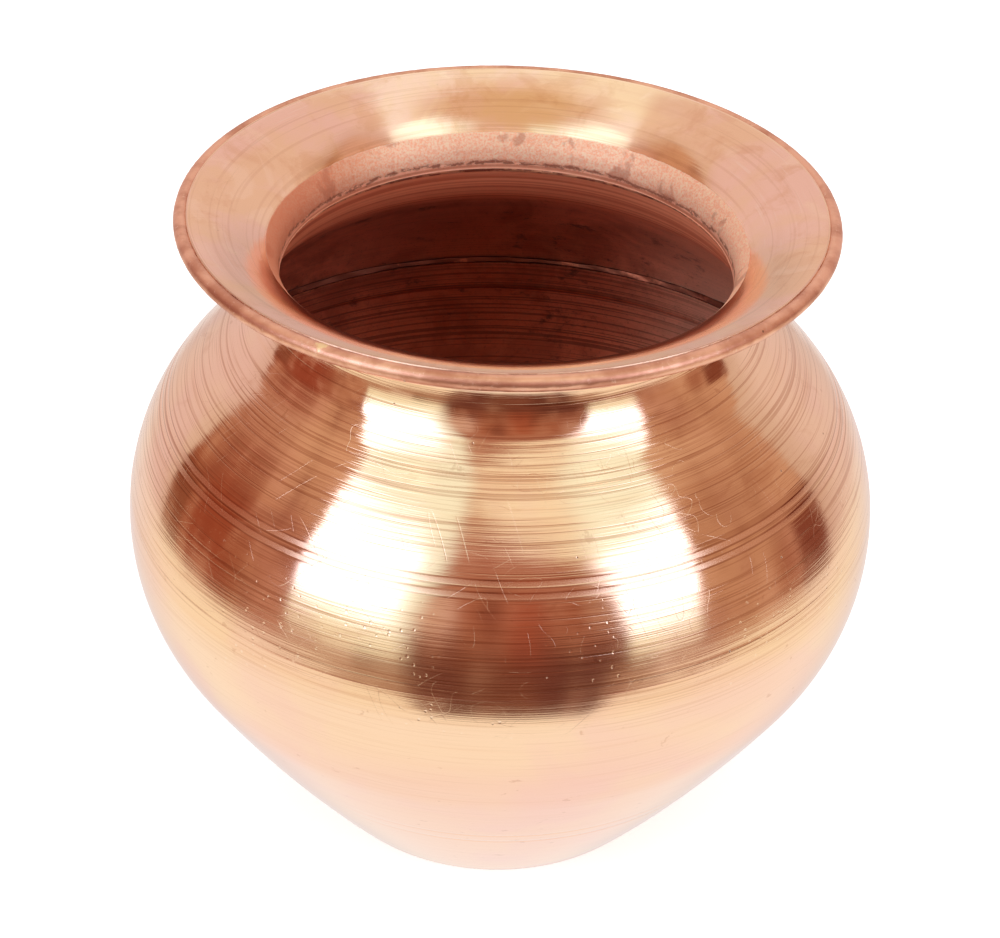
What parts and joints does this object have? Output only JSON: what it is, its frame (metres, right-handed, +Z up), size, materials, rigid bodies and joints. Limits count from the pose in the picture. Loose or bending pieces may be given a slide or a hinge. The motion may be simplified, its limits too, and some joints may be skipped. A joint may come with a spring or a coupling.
{
  "type": "kalash pot",
  "caption": "Round-bellied copper water pot with a narrow neck and a wide trumpet mouth, built from turned sheet shells with brazed lap joints and a brazed wire lip.",
  "frame": {"origin": "centre of the foot, on the surface that the pot stands on", "axes": "+Z up along the pot's axis of revolution; X and Y are equal, and -Y is the side seen from the front"},
  "size_m": [0.15, 0.15, 0.1355],
  "materials": {
    "turned_copper": "copper sheet, turned and buffed outside and on the flare, left dull and stained inside",
    "lip_copper": "copper wire, scoured and dull, with pits",
    "braze": "brazing alloy, scraped flush where it shows outside and lumpy inside"
  },
  "bodies": {
    "root": {"bowl_shell": "turned_copper", "belly_braze": "braze", "shoulder_shell": "turned_copper", "neck_braze": "braze", "mouth_flare": "turned_copper", "lip_braze": "braze", "lip_ring": "lip_copper"}
  },
  "joints": []
}
